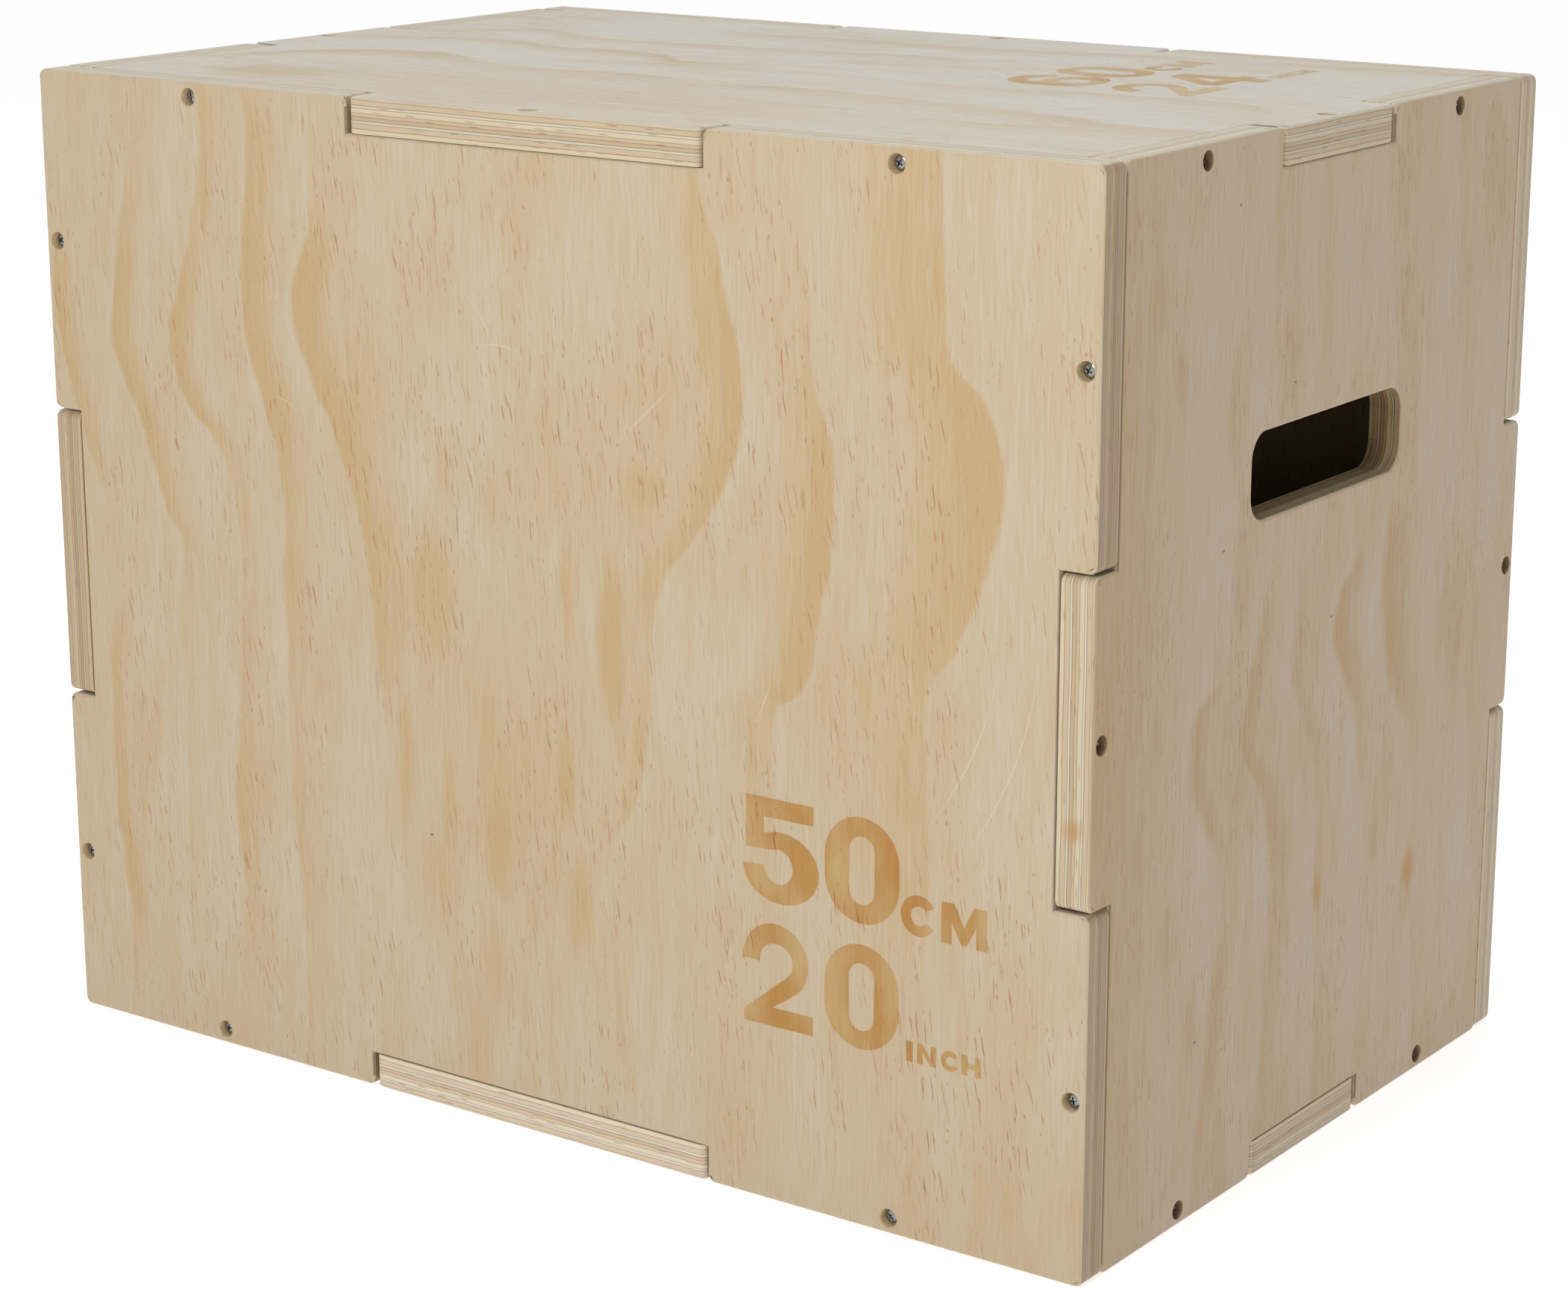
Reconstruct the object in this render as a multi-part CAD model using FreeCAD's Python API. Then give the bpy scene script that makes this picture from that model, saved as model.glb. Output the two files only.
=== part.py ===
"""Three-height plyo box: six plywood panels with finger joints, held by sunk screws.

Millimetres. X runs along the front, Y to the back, Z up.
The origin is on the floor, under the middle of the box.
"""

import FreeCAD, Part
import os
from FreeCAD import Placement, Rotation, Vector

# Box, over all: each measure is the jump height when the box stands along it
BOX_WIDTH = 750.0
BOX_DEPTH = 500.0
BOX_HEIGHT = 600.0

# Plywood
SHEET = 21.0
CORNER_RADIUS = 5.0  # outward corners of a panel, in its own plane
ARRIS = 1.2  # bevel that eases the rim of a panel's outer face, and of its slot

# Finger joints: one middle finger on each edge, named by the edge that it lies along
FINGER_ALONG_WIDTH = 250.0
FINGER_ALONG_DEPTH = 127.0
FINGER_ALONG_HEIGHT = 180.0
FINGER_CLEARANCE = 1.5  # at each end of a finger
SEAT_CLEARANCE = 0.25  # between a panel's edge and the face or notch that it meets

# Handle slot, one in each side panel
SLOT_LENGTH = 177.0
SLOT_HEIGHT = 49.0
SLOT_RADIUS = 15.0
SLOT_DROP = 187.5  # from the top of the box to the slot's middle

# Screws with pan heads
SCREW_INSET = 9.0  # from a panel's outline to the screw's axis
SCREW_DIAMETER = 4.5
SCREW_LENGTH = 45.0  # under the head
POINT_LENGTH = 6.0
HEAD_DIAMETER = 8.8
HEAD_HEIGHT = 3.0
HEAD_RIM = 1.2  # straight part of the head's side
CROWN_DIAMETER = 5.0  # flat middle of the head
HEAD_COVER = 3.0  # from the panel's face down to the head's crown

# Holes
BORE_CLEARANCE = 1.1  # round the head, in its counterbore
PILOT_CLEARANCE = 0.2  # round the screw, through the outer panel and in the edge behind it
PILOT_OVERRUN = 4.0  # beyond the screw's point
CUT_OVERRUN = 2.0  # past the face that a cut starts from

# Sides of the round shapes that every screw repeats
BORE_SIDES = 16
HEAD_SIDES = 12
SHANK_SIDES = 6

COUNTERBORE_DEPTH = HEAD_COVER + HEAD_HEIGHT
JOINT_DEPTH = SHEET + SEAT_CLEARANCE
X, Y, Z = Vector(1, 0, 0), Vector(0, 1, 0), Vector(0, 0, 1)


class Edge:
    """One pair of opposite edges of a panel, as distances from the panel's middle.

    A notched edge lies on the box's outside, with its finger cut in.
    A tabbed edge lies inside the panels that it meets, with its finger reaching out.
    """

    def __init__(self, span, finger, notched):
        outside = span / 2
        inside = outside - JOINT_DEPTH
        self.line = outside if notched else inside
        self.finger = inside if notched else outside
        self.half = finger / 2 + (FINGER_CLEARANCE if notched else 0)
        self.screw_line = outside - SCREW_INSET
        self.notched = notched

    def screw_places(self, run):
        """Where screws sit along an edge that ends at run: in both end fingers, or in the middle one."""
        if not self.notched:
            return [0]
        middle = (run + self.half) / 2
        return [-middle, middle]


def turn(point):
    """A point of the plane turned a quarter to the left."""
    return Vector(-point.y, point.x)


def panel_corners(level, upright):
    """Corners of a panel's outline, anticlockwise, from its level edges and its upright edges."""
    corners = []
    sides = ((level, upright), (upright, level), (level, upright), (upright, level))
    for quarters, (edge, end) in enumerate(sides):
        points = [
            Vector(-end.line, -edge.line),
            Vector(-edge.half, -edge.line),
            Vector(-edge.half, -edge.finger),
            Vector(edge.half, -edge.finger),
            Vector(edge.half, -edge.line),
        ]
        for _ in range(quarters):
            points = [turn(point) for point in points]
        corners += points
    return corners


def rounded_wire(corners, radius):
    """Closed wire round the corners, anticlockwise, with an arc at each outward one."""
    edges = []
    stops = []
    for index, corner in enumerate(corners):
        arriving = (corner - corners[index - 1]).normalize()
        leaving = (corners[(index + 1) % len(corners)] - corner).normalize()
        if arriving.cross(leaving).z < 0:
            stops.append((corner, corner))
            continue
        first = corner - arriving * radius
        last = corner + leaving * radius
        centre = first + leaving * radius
        middle = centre + (arriving - leaving).normalize() * radius
        edges.append(Part.Arc(first, middle, last).toShape())
        stops.append((first, last))
    for (_, last), (following, _) in zip(stops, stops[1:] + stops[:1]):
        edges.append(Part.LineSegment(last, following).toShape())
    return Part.Wire(Part.sortEdges(edges)[0])


def slot_wire(middle):
    """Rounded rectangle of the handle slot, about its middle."""
    x, y = SLOT_LENGTH / 2, SLOT_HEIGHT / 2
    corners = [Vector(-x, -y), Vector(x, -y), Vector(x, y), Vector(-x, y)]
    return rounded_wire([middle + corner for corner in corners], SLOT_RADIUS)


def blank_panel(level, upright, slot_middle):
    """A panel before drilling: its outer face lies on z = 0 and looks up."""
    outline = rounded_wire(panel_corners(level, upright), CORNER_RADIUS)
    blank = Part.Face(outline).extrude(Vector(0, 0, -SHEET))
    if slot_middle is not None:
        slot = Part.Face(slot_wire(slot_middle)).extrude(Vector(0, 0, -SHEET))
        blank = blank.cut(slot)
    rim = [edge for edge in blank.Edges if edge.BoundBox.ZMin > -ARRIS]
    return blank.makeChamfer(ARRIS, rim)


def turned(profile, sides):
    """Many-sided turned body about Z, through (radius, height) points that start and end on the axis."""
    rings = []
    for radius, height in profile:
        steps = [Rotation(Z, 360 * index / sides) for index in range(sides)]
        rings.append([step.multVec(Vector(radius, 0, height)) for step in steps])
    faces = []
    for (radius, _), (next_radius, _), ring, next_ring in zip(profile, profile[1:], rings, rings[1:]):
        for index in range(sides):
            corners = [ring[index], next_ring[index]]
            if next_radius > 0:
                corners.append(next_ring[index - 1])
            if radius > 0:
                corners.append(ring[index - 1])
            faces.append(Part.Face(Part.makePolygon(corners + corners[:1])))
    return Part.Solid(Part.Shell(faces)).removeSplitter()


def drill():
    """What is cut for one screw, down from the face at z = 0: a counterbore and a pointed pilot hole."""
    bore = HEAD_DIAMETER / 2 + BORE_CLEARANCE
    pilot = SCREW_DIAMETER / 2 + PILOT_CLEARANCE
    end = -COUNTERBORE_DEPTH - SCREW_LENGTH - PILOT_OVERRUN
    counterbore = turned(
        [(0, CUT_OVERRUN), (bore, CUT_OVERRUN), (bore, -COUNTERBORE_DEPTH), (0, -COUNTERBORE_DEPTH)],
        BORE_SIDES,
    )
    hole = turned([(0, 0), (pilot, 0), (pilot, end + POINT_LENGTH), (0, end)], SHANK_SIDES)
    return counterbore.fuse(hole)


def screw():
    """One screw, head up, seated on its counterbore below the face at z = 0."""
    head, crown, shank = HEAD_DIAMETER / 2, CROWN_DIAMETER / 2, SCREW_DIAMETER / 2
    seat = -COUNTERBORE_DEPTH
    top = seat + HEAD_HEIGHT
    tip = seat - SCREW_LENGTH
    pan = turned([(0, top), (crown, top), (head, seat + HEAD_RIM), (head, seat), (0, seat)], HEAD_SIDES)
    pin = turned([(0, seat), (shank, seat), (shank, tip + POINT_LENGTH), (0, tip)], SHANK_SIDES)
    return pan.fuse(pin)


# Where each panel's outer face lies: its middle, its level run, its upright run and its normal
PANEL_FACES = {
    "front_panel": (Vector(0, -BOX_DEPTH / 2, BOX_HEIGHT / 2), X, Z, -Y),
    "back_panel": (Vector(0, BOX_DEPTH / 2, BOX_HEIGHT / 2), -X, Z, Y),
    "left_side_panel": (Vector(-BOX_WIDTH / 2, 0, BOX_HEIGHT / 2), -Y, Z, -X),
    "right_side_panel": (Vector(BOX_WIDTH / 2, 0, BOX_HEIGHT / 2), Y, Z, X),
    "top_panel": (Vector(0, 0, BOX_HEIGHT), X, Y, Z),
    "bottom_panel": (Vector(0, 0, 0), X, -Y, -Z),
}

# Level and upright edges of the panels. The front and back panels hold all eight corners of the box.
BROAD_EDGES = (
    Edge(BOX_HEIGHT, FINGER_ALONG_WIDTH, notched=True),
    Edge(BOX_WIDTH, FINGER_ALONG_HEIGHT, notched=True),
)
SIDE_EDGES = (
    Edge(BOX_HEIGHT, FINGER_ALONG_DEPTH, notched=True),
    Edge(BOX_DEPTH, FINGER_ALONG_HEIGHT, notched=False),
)
LID_EDGES = (
    Edge(BOX_DEPTH, FINGER_ALONG_WIDTH, notched=False),
    Edge(BOX_WIDTH, FINGER_ALONG_DEPTH, notched=False),
)
PANEL_EDGES = {
    "front_panel": BROAD_EDGES,
    "back_panel": BROAD_EDGES,
    "left_side_panel": SIDE_EDGES,
    "right_side_panel": SIDE_EDGES,
    "top_panel": LID_EDGES,
    "bottom_panel": LID_EDGES,
}
SLOT_MIDDLE = Vector(0, BOX_HEIGHT / 2 - SLOT_DROP)
SLOTTED_PANELS = ("left_side_panel", "right_side_panel")


def screw_points(level, upright):
    """Places of a panel's screws in its own plane, one in each finger."""
    points = []
    for side in (-1, 1):
        for along in level.screw_places(upright.line):
            points.append(Vector(along, side * level.screw_line))
        for along in upright.screw_places(level.line):
            points.append(Vector(side * upright.screw_line, along))
    return points


def placed(shape, point, placement):
    """A copy of a shape, moved to a point of the panel's plane and then put where the panel goes."""
    return shape.transformed((placement * Placement(point, Rotation())).toMatrix())


def build():
    """All panels and screws, as a shape for each node."""
    one_screw, one_drill = screw(), drill()
    panels, screws, drills = {}, {}, []
    for name, (middle, level_run, upright_run, normal) in PANEL_FACES.items():
        level, upright = PANEL_EDGES[name]
        placement = Placement(middle, Rotation(level_run, upright_run, normal, "XYZ"))
        slot_middle = SLOT_MIDDLE if name in SLOTTED_PANELS else None
        panels[name] = placed(blank_panel(level, upright, slot_middle), Vector(), placement)
        points = screw_points(level, upright)
        row = [placed(one_screw, point, placement) for point in points]
        screws[name + "_screws"] = Part.makeCompound(row)
        drills += [placed(one_drill, point, placement) for point in points]
    for name, panel in panels.items():
        cuts = [cut for cut in drills if cut.BoundBox.intersect(panel.BoundBox)]
        panels[name] = panel.cut(cuts)
    return {**panels, **screws}


def main():
    os.makedirs("parts", exist_ok=True)
    for name, shape in build().items():
        shape.exportStep("parts/" + name + ".step")
        print(name, len(shape.Solids), "solids,", "valid" if shape.isValid() else "not valid")


main()
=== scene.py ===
"""Looks of the three-height plyo box: figured plywood, ply edges, screws, size marks and a plain studio.

Metres, in the frame of the CAD model. The sizes of the wood, the screws and the marks are in
millimetres, and places on a panel's face run from the corner where its figure starts.
"""

import math
from collections import namedtuple

import bmesh
import bpy
from mathutils import Matrix, Vector


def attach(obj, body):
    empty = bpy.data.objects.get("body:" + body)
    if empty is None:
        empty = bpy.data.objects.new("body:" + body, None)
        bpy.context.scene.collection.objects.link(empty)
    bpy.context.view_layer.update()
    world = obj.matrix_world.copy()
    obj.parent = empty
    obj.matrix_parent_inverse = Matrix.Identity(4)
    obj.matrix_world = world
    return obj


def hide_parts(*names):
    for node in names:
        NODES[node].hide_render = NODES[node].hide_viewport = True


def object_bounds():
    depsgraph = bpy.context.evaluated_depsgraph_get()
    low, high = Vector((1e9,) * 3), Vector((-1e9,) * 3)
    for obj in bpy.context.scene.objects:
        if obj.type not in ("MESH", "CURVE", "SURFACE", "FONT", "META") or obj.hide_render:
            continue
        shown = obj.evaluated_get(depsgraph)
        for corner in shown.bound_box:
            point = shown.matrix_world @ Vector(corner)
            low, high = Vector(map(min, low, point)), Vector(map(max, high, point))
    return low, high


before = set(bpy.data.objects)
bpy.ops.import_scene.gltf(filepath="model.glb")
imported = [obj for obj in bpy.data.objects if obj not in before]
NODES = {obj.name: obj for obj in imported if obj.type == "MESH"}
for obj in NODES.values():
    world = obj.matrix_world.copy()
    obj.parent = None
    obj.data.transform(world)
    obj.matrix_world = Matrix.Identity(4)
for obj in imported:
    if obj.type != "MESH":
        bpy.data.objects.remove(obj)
LOW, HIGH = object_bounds()
MM = 0.001
X, Y, Z = Vector((1, 0, 0)), Vector((0, 1, 0)), Vector((0, 0, 1))


def srgb(red, green, blue):
    """A colour as the eye names it, 0 to 255, for a shader's socket."""
    shares = [value / 255 for value in (red, green, blue)]
    return [s / 12.92 if s < 0.04045 else ((s + 0.055) / 1.055) ** 2.4 for s in shares] + [1]


# Camera, at the photograph's viewing angle
CAMERA_AZIMUTH = 35.66
CAMERA_ELEVATION = 15.0
CAMERA_DISTANCE = 2.323
CAMERA_AIM = Vector((0.0091, -0.0115, 0.2453))
LENS = 85.8
SENSOR = 36.0

# Studio
WHITE = srgb(255, 255, 255)
SKY_BEHIND = 1.0
SKY_BEFORE = 0.0
SKY_LOW = 0.95
HORIZON_LOW = 0.2
HORIZON_HIGH = 0.27
SWEEP = Vector((-0.74, 0.67, 0))
FLOOR_SIDE = 40.0
FLOOR_INSET = 0.003
FLOOR_GRAIN = 0.3
FLOOR_DARK = srgb(196, 196, 196)
FLOOR_LIGHT = srgb(200, 200, 200)
FLOOR_GLOW = 0.66
BOX_MIDDLE = (LOW + HIGH) / 2
NEUTRAL = (1, 1, 1)
COOL = (0.92, 1.0, 1.12)
# Name, place, what it is aimed at, side, power and tint
SOFTBOXES = (
    ("key", Vector((0.5, -1.6, 1.35)), Vector((0.1, -0.25, 0.35)), 0.6, 9.5, NEUTRAL),
    ("overhead", Vector((0, 0, 3.5)), BOX_MIDDLE, 4.0, 49, COOL),
)

# Plywood sheet
SHEET = 21.0
SKIN = 1.5
GLUE_LINE = 0.4
EDGE_ROUNDING = 0.6
WELD_REACH = 0.01
BORE_REACH = 7.5
# Least distance of a slot, and of a joint, from the box's outline
SLOT_MARGIN = 40.0
JOINT_MARGIN = 6.0

# Colours of the wood
PALE = srgb(197, 181, 155)
OCHRE = srgb(190, 160, 115)
# The sides' colours are darker than the front's: partly the side veneers' own pinker tone, partly painted
# shade
SIDE_PALE_SHADED = srgb(186, 169, 147)
SIDE_OCHRE_SHADED = srgb(174, 142, 97)
# The top's pale is greyer and paler than the front's: partly the top veneer's own tone, partly a painted
# sheen of the white surroundings at a grazing view
TOP_PALE_WITH_SHEEN = srgb(202, 195, 181)
TOP_OCHRE = srgb(183, 159, 117)
RESIN = srgb(160, 98, 58)
KNOT = srgb(176, 131, 64)
FLECK = srgb(84, 60, 42)
SCUFF = srgb(222, 208, 184)
SANDED = srgb(203, 188, 162)
VOID = srgb(127, 89, 55)
# Painted shade in the groove along a joint
JOINT_SHADE = srgb(70, 52, 38)
# Walls of the counterbores: painted light on the front, back, top and bottom, painted shade on the sides
LIT_BORE_WALL = srgb(226, 202, 160)
SHADED_BORE_WALL = srgb(122, 94, 62)
STAIN_DARK = [0.8, 0.51, 0.17, 1]
STAIN_LIGHT = [0.9, 0.74, 0.44, 1]
CREAM = srgb(210, 192, 159)
WHITE_PLY = srgb(208, 196, 173)
PINK_PLY = srgb(200, 177, 145)
BROWN_PLY = srgb(192, 167, 132)
# Tints of a panel's plies
CLEAN_PLIES = [1, 1, 1, 1]
# Paler and cooler: painted sheen on the plies of edges facing up and down
SHEEN_PLIES = [0.98, 1.05, 1.12, 1]
# Darker: painted shade on the plies of the left side's front and back edges
SHADED_PLIES = [0.86, 0.8, 0.73, 1]
BROWN_PLIES = [0.68, 0.61, 0.56, 1]
GREY_PLIES = [0.87, 0.86, 0.87, 1]
# Lighter: painted light on the plies of the bottom's front and back edges
LIT_PLIES = [1.18, 1.22, 1.32, 1]
# How much of a colour is laid over the wood
RESIN_SHARE = 0.75
FLECK_SHARE = 0.7
SCUFF_SHARE = 0.45
SANDED_SHARE = 0.25
# Share of painted shade in a joint's groove
JOINT_SHADE_SHARE = 0.65
VOID_SHARE = 0.55
# Share of painted light and shade laid on a counterbore's wall
BORE_LIGHTING_SHARE = 0.8
# Painted shade on the walls of the handle slots
SLOT_PAINTED_SHADE = 0.8
GLUE_SHADE = 0.5
# Thickness and colour of each ply, from the outer face in
PLIES = (
    (1.9, CREAM), (3.0, PINK_PLY), (1.5, WHITE_PLY), (2.9, CREAM), (2.0, PINK_PLY), (2.3, BROWN_PLY),
    (1.5, WHITE_PLY), (3.1, PINK_PLY), (2.8, CREAM),
)

# Noise in the wood: the sizes of its grains across, along and through the sheet
WANDER_GRAIN = (14, 50, 14)
FINE_GRAIN = (1.6, 45, 1)
CLOUD_GRAIN = (45, 130, 45)
STREAK_GRAIN = (4, 90, 4)
STRIP_GRAIN = (11, 90, 11)
RESIN_GRAIN = (45, 110, 45)
STAIN_GRAIN = (30, 60, 30)
DRIFT_GRAIN = (70, 70, 1000)
PLY_GRAIN = (45, 45, 0.5)
# Where most of a noise's values lie, and what it does to a tone or a shade there
NOISE_SPAN = (0.25, 0.75)
FINE_TONE = (0.32, -0.24)
FINE_SHADE = (0.975, 1.02)
FINE_ROUGHNESS = (0.42, 0.58)
STREAK_SHADE = (0.75, 1.12)
STRIP_TONE = (0.08, 0.28)
KNOT_SHADE = (1.25, 0.75)
PLY_SHADE = (0.9, 1.06)
# How far the growth bands wander across a face, and the plies through the sheet
WANDER = 9.0
PLY_DRIFT = 1.6
# How far a band fades, in its own fades, and the paler wood before its sharp edge
BAND_REACH = 2.2
PALE_REACH = 10.0
PALE_SHARE = 0.12
FLECK_SIZE = (2.0, 1.3)
# Dashes: width and length of a cell, half width and half length of its dash, and share of cells with one
RESIN_LAYERS = (
    ((5, 30), (0.5, 9), 0.4),
    ((4, 17), (0.45, 5.5), 0.4),
    ((4.3, 9), (0.45, 1.8), 0.25),
)
VOID_LAYER = ((2.6, 16), (0.5, 5), 0.3)

# Screws
# Zinc colours darker than bright zinc's own: a painted dark reflection of the surroundings
ZINC_SHADED_DARK = srgb(112, 114, 114)
ZINC_SHADED_LIGHT = srgb(178, 180, 178)
ZINC_GRAIN = 0.4
SCREW_STEPS = 24
SCREW_TURN = 2.4
DOME_STEPS = 6
HEAD_RADIUS = 4.4
HEAD_HEIGHT = 3.0
HEAD_RIM = 1.2
SHANK_RADIUS = 1.5
THREAD_RADIUS = 2.1
THREAD_PITCH = 2.4
THREAD_STEPS = 12
THREAD_HALF = 0.45
THREAD_START = 1.5
THREAD_STOP = 1.0
THREAD_CORE = 0.9
THREAD_END = 0.05
SCREW_LENGTH = 45.0
POINT_LENGTH = 6.0
RECESS_SPAN = 5.0
RECESS_WIDTH = 1.3
RECESS_DEPTH = 1.7
RECESS_OVERRUN = 0.5

# Size marks: where the first line starts on each face, and each word's left end, base line and height
FRONT_MARK = (526.9, 423.0)
TOP_MARK = (222.0, 565.5)
MARK_PLACES = ((0, 0, 60), (105.6, 0, 23.1), (0, -72.5, 60), (110, -72.5, 11.6))
MARK_LIFT = 0.05

# A band of darker wood: the side that it fades to, how far, and its sharp edge through points of
# (along, across, strength)
Band = namedtuple("Band", "side fade points")
# A soft spot of darker wood
Spot = namedtuple("Spot", "across along half_width half_length strength")
# Where a panel's figure starts, the way it runs, how far it goes, and a number for its own grain
Panel = namedtuple("Panel", "corner across along inward width length seed")
# The look of a panel: its face from pale to ochre, the wall of a drilled hole (painted light on some
# panels, painted shade on others), the tint of the plies on its sideways edges and on its ends, the
# bands, spots, knots and grain of its face, and the way that the rim of its one joint with painted shade
# faces
Figure = namedtuple("Figure", (
    "pale ochre cut plies ends "
    "bands spots clouds knots edge_knots resin slant flecks scuffs softness seam"
))
# What a panel's shader works from: a place in the panel's own axes, across again with the bands' wander
# (lean), the fine grain there, the surface's normal, and how far it faces out of the sheet or sideways
Wood = namedtuple("Wood", "graph panel figure across along depth place lean fine normal facing sideways")

RIGHTWARD, LEFTWARD = 1, -1

FRONT_BANDS = [
    Band(RIGHTWARD, 13, [
        (0, 24, 0.35), (60, 17, 0.3), (105, 5, 0.5), (140, 4, 1), (165, 7, 1), (215, 22, 0.8),
        (265, 40, 0.45), (310, 43, 0.3), (350, 40, 0.7), (430, 37, 0.8), (500, 42, 0.9),
        (540, 47, 0.6), (600, 40, 0.3),
    ]),
    Band(RIGHTWARD, 15, [
        (0, 78, 0.25), (30, 75, 0.35), (90, 62, 0.6), (130, 55, 1), (165, 54, 1),
        (210, 75, 0.9), (260, 92, 0.7), (280, 104, 0.6), (300, 103, 0.35), (450, 100, 0.2),
        (600, 96, 0.15),
    ]),
    Band(RIGHTWARD, 14, [
        (0, 128, 0.5), (15, 132, 0.6), (95, 120, 0.6), (130, 106, 0.9), (155, 101, 1),
        (190, 112, 1), (215, 137, 0.6), (250, 150, 0.45), (300, 152, 0.5), (380, 147, 0.6),
        (450, 142, 0.8), (505, 147, 0.5), (600, 150, 0.3),
    ]),
    Band(RIGHTWARD, 18, [
        (0, 165, 0.4), (30, 170, 0.7), (80, 165, 0.9), (140, 162, 1), (180, 175, 1),
        (225, 187, 0.7), (300, 189, 0.6), (375, 189, 0.5), (450, 190, 0.55), (525, 197, 0.4),
        (600, 190, 0.3),
    ]),
    Band(RIGHTWARD, 24, [
        (0, 222, 0.2), (40, 218, 0.3), (85, 213, 0.7), (115, 203, 1), (140, 205, 1),
        (165, 215, 1), (205, 235, 0.9), (240, 248, 0.8), (280, 256, 0.8), (340, 261, 0.5),
        (400, 275, 0.3), (450, 285, 0.3), (545, 315, 0.15), (600, 322, 0.1),
    ]),
    Band(LEFTWARD, 20, [
        (0, 498, 0.4), (35, 503, 0.6), (80, 515, 0.8), (135, 527, 1), (170, 525, 1),
        (215, 502, 0.8), (255, 472, 0.7), (300, 465, 0.5), (390, 450, 0.6), (402, 441, 0.45),
        (430, 432, 0.35), (470, 412, 0.2), (520, 395, 0.1), (600, 380, 0),
    ]),
    Band(LEFTWARD, 22, [
        (0, 570, 0.2), (60, 572, 0.3), (130, 576, 0.6), (170, 588, 0.9), (220, 585, 1),
        (260, 577, 1), (302, 566, 0.9), (310, 553, 0.6), (345, 549, 0.5), (420, 555, 0.3),
        (500, 560, 0.25), (600, 555, 0.2),
    ]),
    Band(LEFTWARD, 42, [
        (0, 653, 0.6), (70, 657, 0.7), (110, 663, 0.8), (125, 680, 0.9), (145, 690, 1),
        (165, 694, 1), (205, 688, 0.9), (255, 668, 0.8), (270, 660, 0.7), (280, 651, 0.6),
        (320, 648, 0.6), (370, 653, 0.6), (450, 648, 0.35), (525, 645, 0.3), (600, 646, 0.2),
    ]),
]
FRONT_SPOTS = [
    # Darker along the left edge: painted shade where the light falls off
    Spot(0, 300, 150, 700, 0.25),
    Spot(470, 155, 45, 90, 0.45),
    Spot(460, 200, 42, 32, 0.65),
    Spot(447, 150, 28, 22, 0.4),
    Spot(250, 185, 48, 110, 0.55),
    Spot(318, 208, 20, 36, 0.4),
    Spot(352, 222, 20, 40, 0.5),
    Spot(386, 212, 18, 36, 0.4),
    Spot(370, 385, 110, 165, 0.5),
    Spot(305, 282, 36, 75, 0.8),
    Spot(437, 290, 20, 85, 1.1),
    Spot(406, 270, 12, 75, 0.7),
    Spot(402, 378, 15, 62, 0.9),
    Spot(345, 352, 22, 60, 0.7),
    Spot(352, 425, 20, 70, 1.0),
    Spot(315, 405, 14, 80, 0.8),
    Spot(281, 385, 14, 85, 0.7),
    Spot(411, 450, 26, 62, 0.7),
    Spot(305, 455, 34, 62, 0.6),
    Spot(345, 500, 24, 75, 0.6),
    Spot(334, 560, 22, 75, 0.65),
    Spot(590, 300, 60, 110, 0.45),
]
# Pale scuffs, each an arc through three places
FRONT_SCUFFS = [
    ((488, 135), (461, 159.5), (432, 186)),
    ((690, 277), (676, 318), (634, 377)),
    ((713, 283), (701, 322), (649, 398)),
    ((547, 296), (541, 311), (534, 328)),
    ((320, 97), (348, 120), (356, 150)),
    ((343, 134), (363, 132), (387, 141)),
    ((180, 181), (194, 182), (206, 191)),
]

RIGHT_BANDS = [
    Band(RIGHTWARD, 16, [
        (0, 135, 0.2), (100, 136, 0.1), (125, 133, 0.4), (150, 132, 0.4), (190, 140, 0.3),
        (230, 145, 0.15), (285, 128, 0), (298, 118, 0.5), (310, 106, 0.7), (330, 103, 0.7),
        (350, 106, 0.7), (370, 118, 0.6), (390, 132, 0.5), (420, 140, 0.3), (450, 135, 0.5),
        (480, 130, 0.7), (520, 125, 0.6), (560, 117, 0.5), (600, 116, 0.4),
    ]),
    Band(RIGHTWARD, 19, [
        (0, 178, 0.4), (60, 180, 0.3), (120, 182, 0.1), (230, 184, 0.15), (260, 178, 0.4),
        (290, 170, 0.6), (315, 160, 0.7), (332, 156, 0.8), (345, 160, 0.8), (370, 182, 0.7),
        (405, 194, 0.7), (430, 197, 0.5), (480, 192, 0.5), (550, 190, 0.5), (600, 186, 0.5),
    ]),
    Band(RIGHTWARD, 16, [
        (0, 228, 0.2), (100, 232, 0.35), (150, 235, 0.3), (220, 235, 0.2), (265, 220, 0.5),
        (310, 214, 0.6), (330, 222, 0.6), (360, 240, 0.5), (400, 248, 0.4), (440, 252, 0.3),
        (520, 256, 0.4), (560, 256, 0.5), (600, 254, 0.4),
    ]),
    Band(RIGHTWARD, 21, [
        (0, 290, 0.1), (230, 285, 0), (255, 285, 0.4), (275, 268, 0.7), (295, 262, 0.8),
        (320, 275, 0.7), (345, 290, 0.5), (375, 300, 0.3), (420, 308, 0.15), (600, 310, 0.1),
    ]),
    Band(RIGHTWARD, 32, [
        (0, 335, 0.3), (100, 335, 0.3), (200, 330, 0.2), (240, 325, 0.6), (270, 320, 0.75),
        (305, 325, 0.75), (335, 335, 0.6), (360, 350, 0.5), (385, 366, 0.3), (450, 372, 0.2),
        (520, 380, 0.3), (600, 388, 0.4),
    ]),
    Band(RIGHTWARD, 28, [
        (0, 398, 0.4), (60, 400, 0.35), (150, 410, 0.25), (240, 412, 0.2), (290, 402, 0.35),
        (330, 425, 0.4), (375, 440, 0.4), (415, 450, 0.3), (475, 460, 0.3), (540, 472, 0.35),
        (600, 480, 0.3),
    ]),
]
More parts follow.
